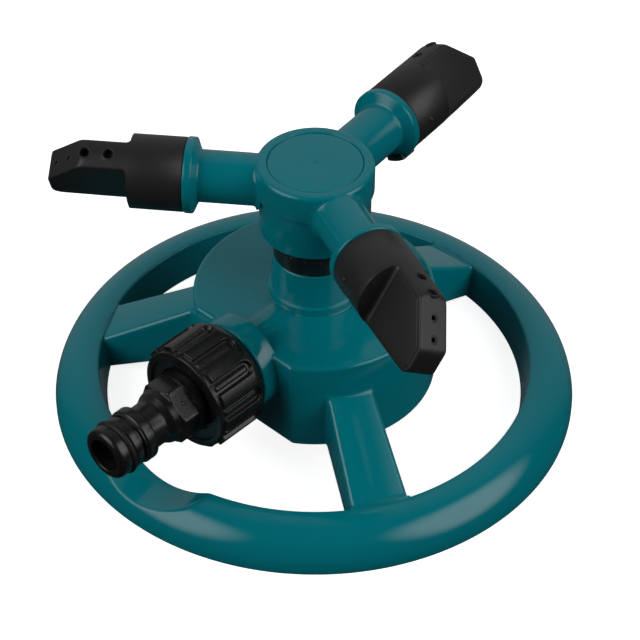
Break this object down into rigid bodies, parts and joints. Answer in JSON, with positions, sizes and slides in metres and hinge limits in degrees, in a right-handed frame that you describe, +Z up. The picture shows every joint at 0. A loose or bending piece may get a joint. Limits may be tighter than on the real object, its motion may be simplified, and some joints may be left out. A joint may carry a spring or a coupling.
{
  "type": "rotary lawn sprinkler",
  "caption": "Rotary garden sprinkler: spinning head with turnable jet nozzles on a spoked ring base, fed through a threaded hose union with a quick-connect nipple.",
  "frame": {"origin": "centre of the ring base on the ground, on the head's spin axis", "axes": "+Z up along the spin axis, -Y out along the hose inlet, +X to the right seen from behind the drum"},
  "size_m": [0.168, 0.1749, 0.0942],
  "materials": {
    "teal_plastic": "glossy moulded polypropylene, teal",
    "black_plastic": "satin moulded plastic, black",
    "rubber_seal": "soft black nitrile rubber",
    "acetal": "natural white acetal, turned",
    "spring_steel": "stamped stainless spring steel"
  },
  "bodies": {
    "base": {"base_frame": "teal_plastic", "bearing_collar": "black_plastic", "pivot_spindle": "acetal", "spindle_seal": "rubber_seal", "lower_thrust_washer": "acetal", "upper_thrust_washer": "acetal", "retaining_clip": "spring_steel"},
    "rotor": {"rotor_body": "teal_plastic", "rotor_cap": "teal_plastic", "rotor_seal": "rubber_seal", "nozzle_seal_1": "rubber_seal", "nozzle_seal_2": "rubber_seal", "nozzle_seal_3": "rubber_seal"},
    "nozzle_1": {"nozzle_body_1": "black_plastic", "nozzle_plate_1": "black_plastic"},
    "nozzle_2": {"nozzle_body_2": "black_plastic", "nozzle_plate_2": "black_plastic"},
    "nozzle_3": {"nozzle_body_3": "black_plastic", "nozzle_plate_3": "black_plastic"},
    "hose_fitting": {"hose_nipple": "black_plastic", "nipple_o_ring": "rubber_seal", "inlet_washer": "rubber_seal"},
    "union_nut": {"hose_union_nut": "black_plastic"}
  },
  "joints": [
    {"name": "head_spin", "type": "hinge", "parent": "base", "child": "rotor", "pos_m": [0, 0, 0.0665], "axis": [0, 0, 1], "continuous": true},
    {"name": "nozzle_1_turn", "type": "hinge", "parent": "rotor", "child": "nozzle_1", "pos_m": [0, 0, 0.0824], "axis": [-0.1219, 0.9925, 0], "continuous": true},
    {"name": "nozzle_2_turn", "type": "hinge", "parent": "rotor", "child": "nozzle_2", "pos_m": [0, 0, 0.0824], "axis": [-0.7986, -0.6018, 0], "continuous": true},
    {"name": "nozzle_3_turn", "type": "hinge", "parent": "rotor", "child": "nozzle_3", "pos_m": [0, 0, 0.0824], "axis": [0.9205, -0.3907, 0], "continuous": true},
    {"name": "union_slide", "type": "slide", "parent": "base", "child": "hose_fitting", "axis": [0, -1, 0], "range_m": [0, 0.00908]},
    {"name": "union_nut_turn", "type": "hinge", "parent": "hose_fitting", "child": "union_nut", "pos_m": [0, -0.05795, 0.032], "axis": [0, -1, 0], "range_deg": [0, 1800]}
  ],
  "couplings": [
    {"joint": "union_slide", "follows": "union_nut_turn", "m_per_rad": 0.00028871}
  ]
}
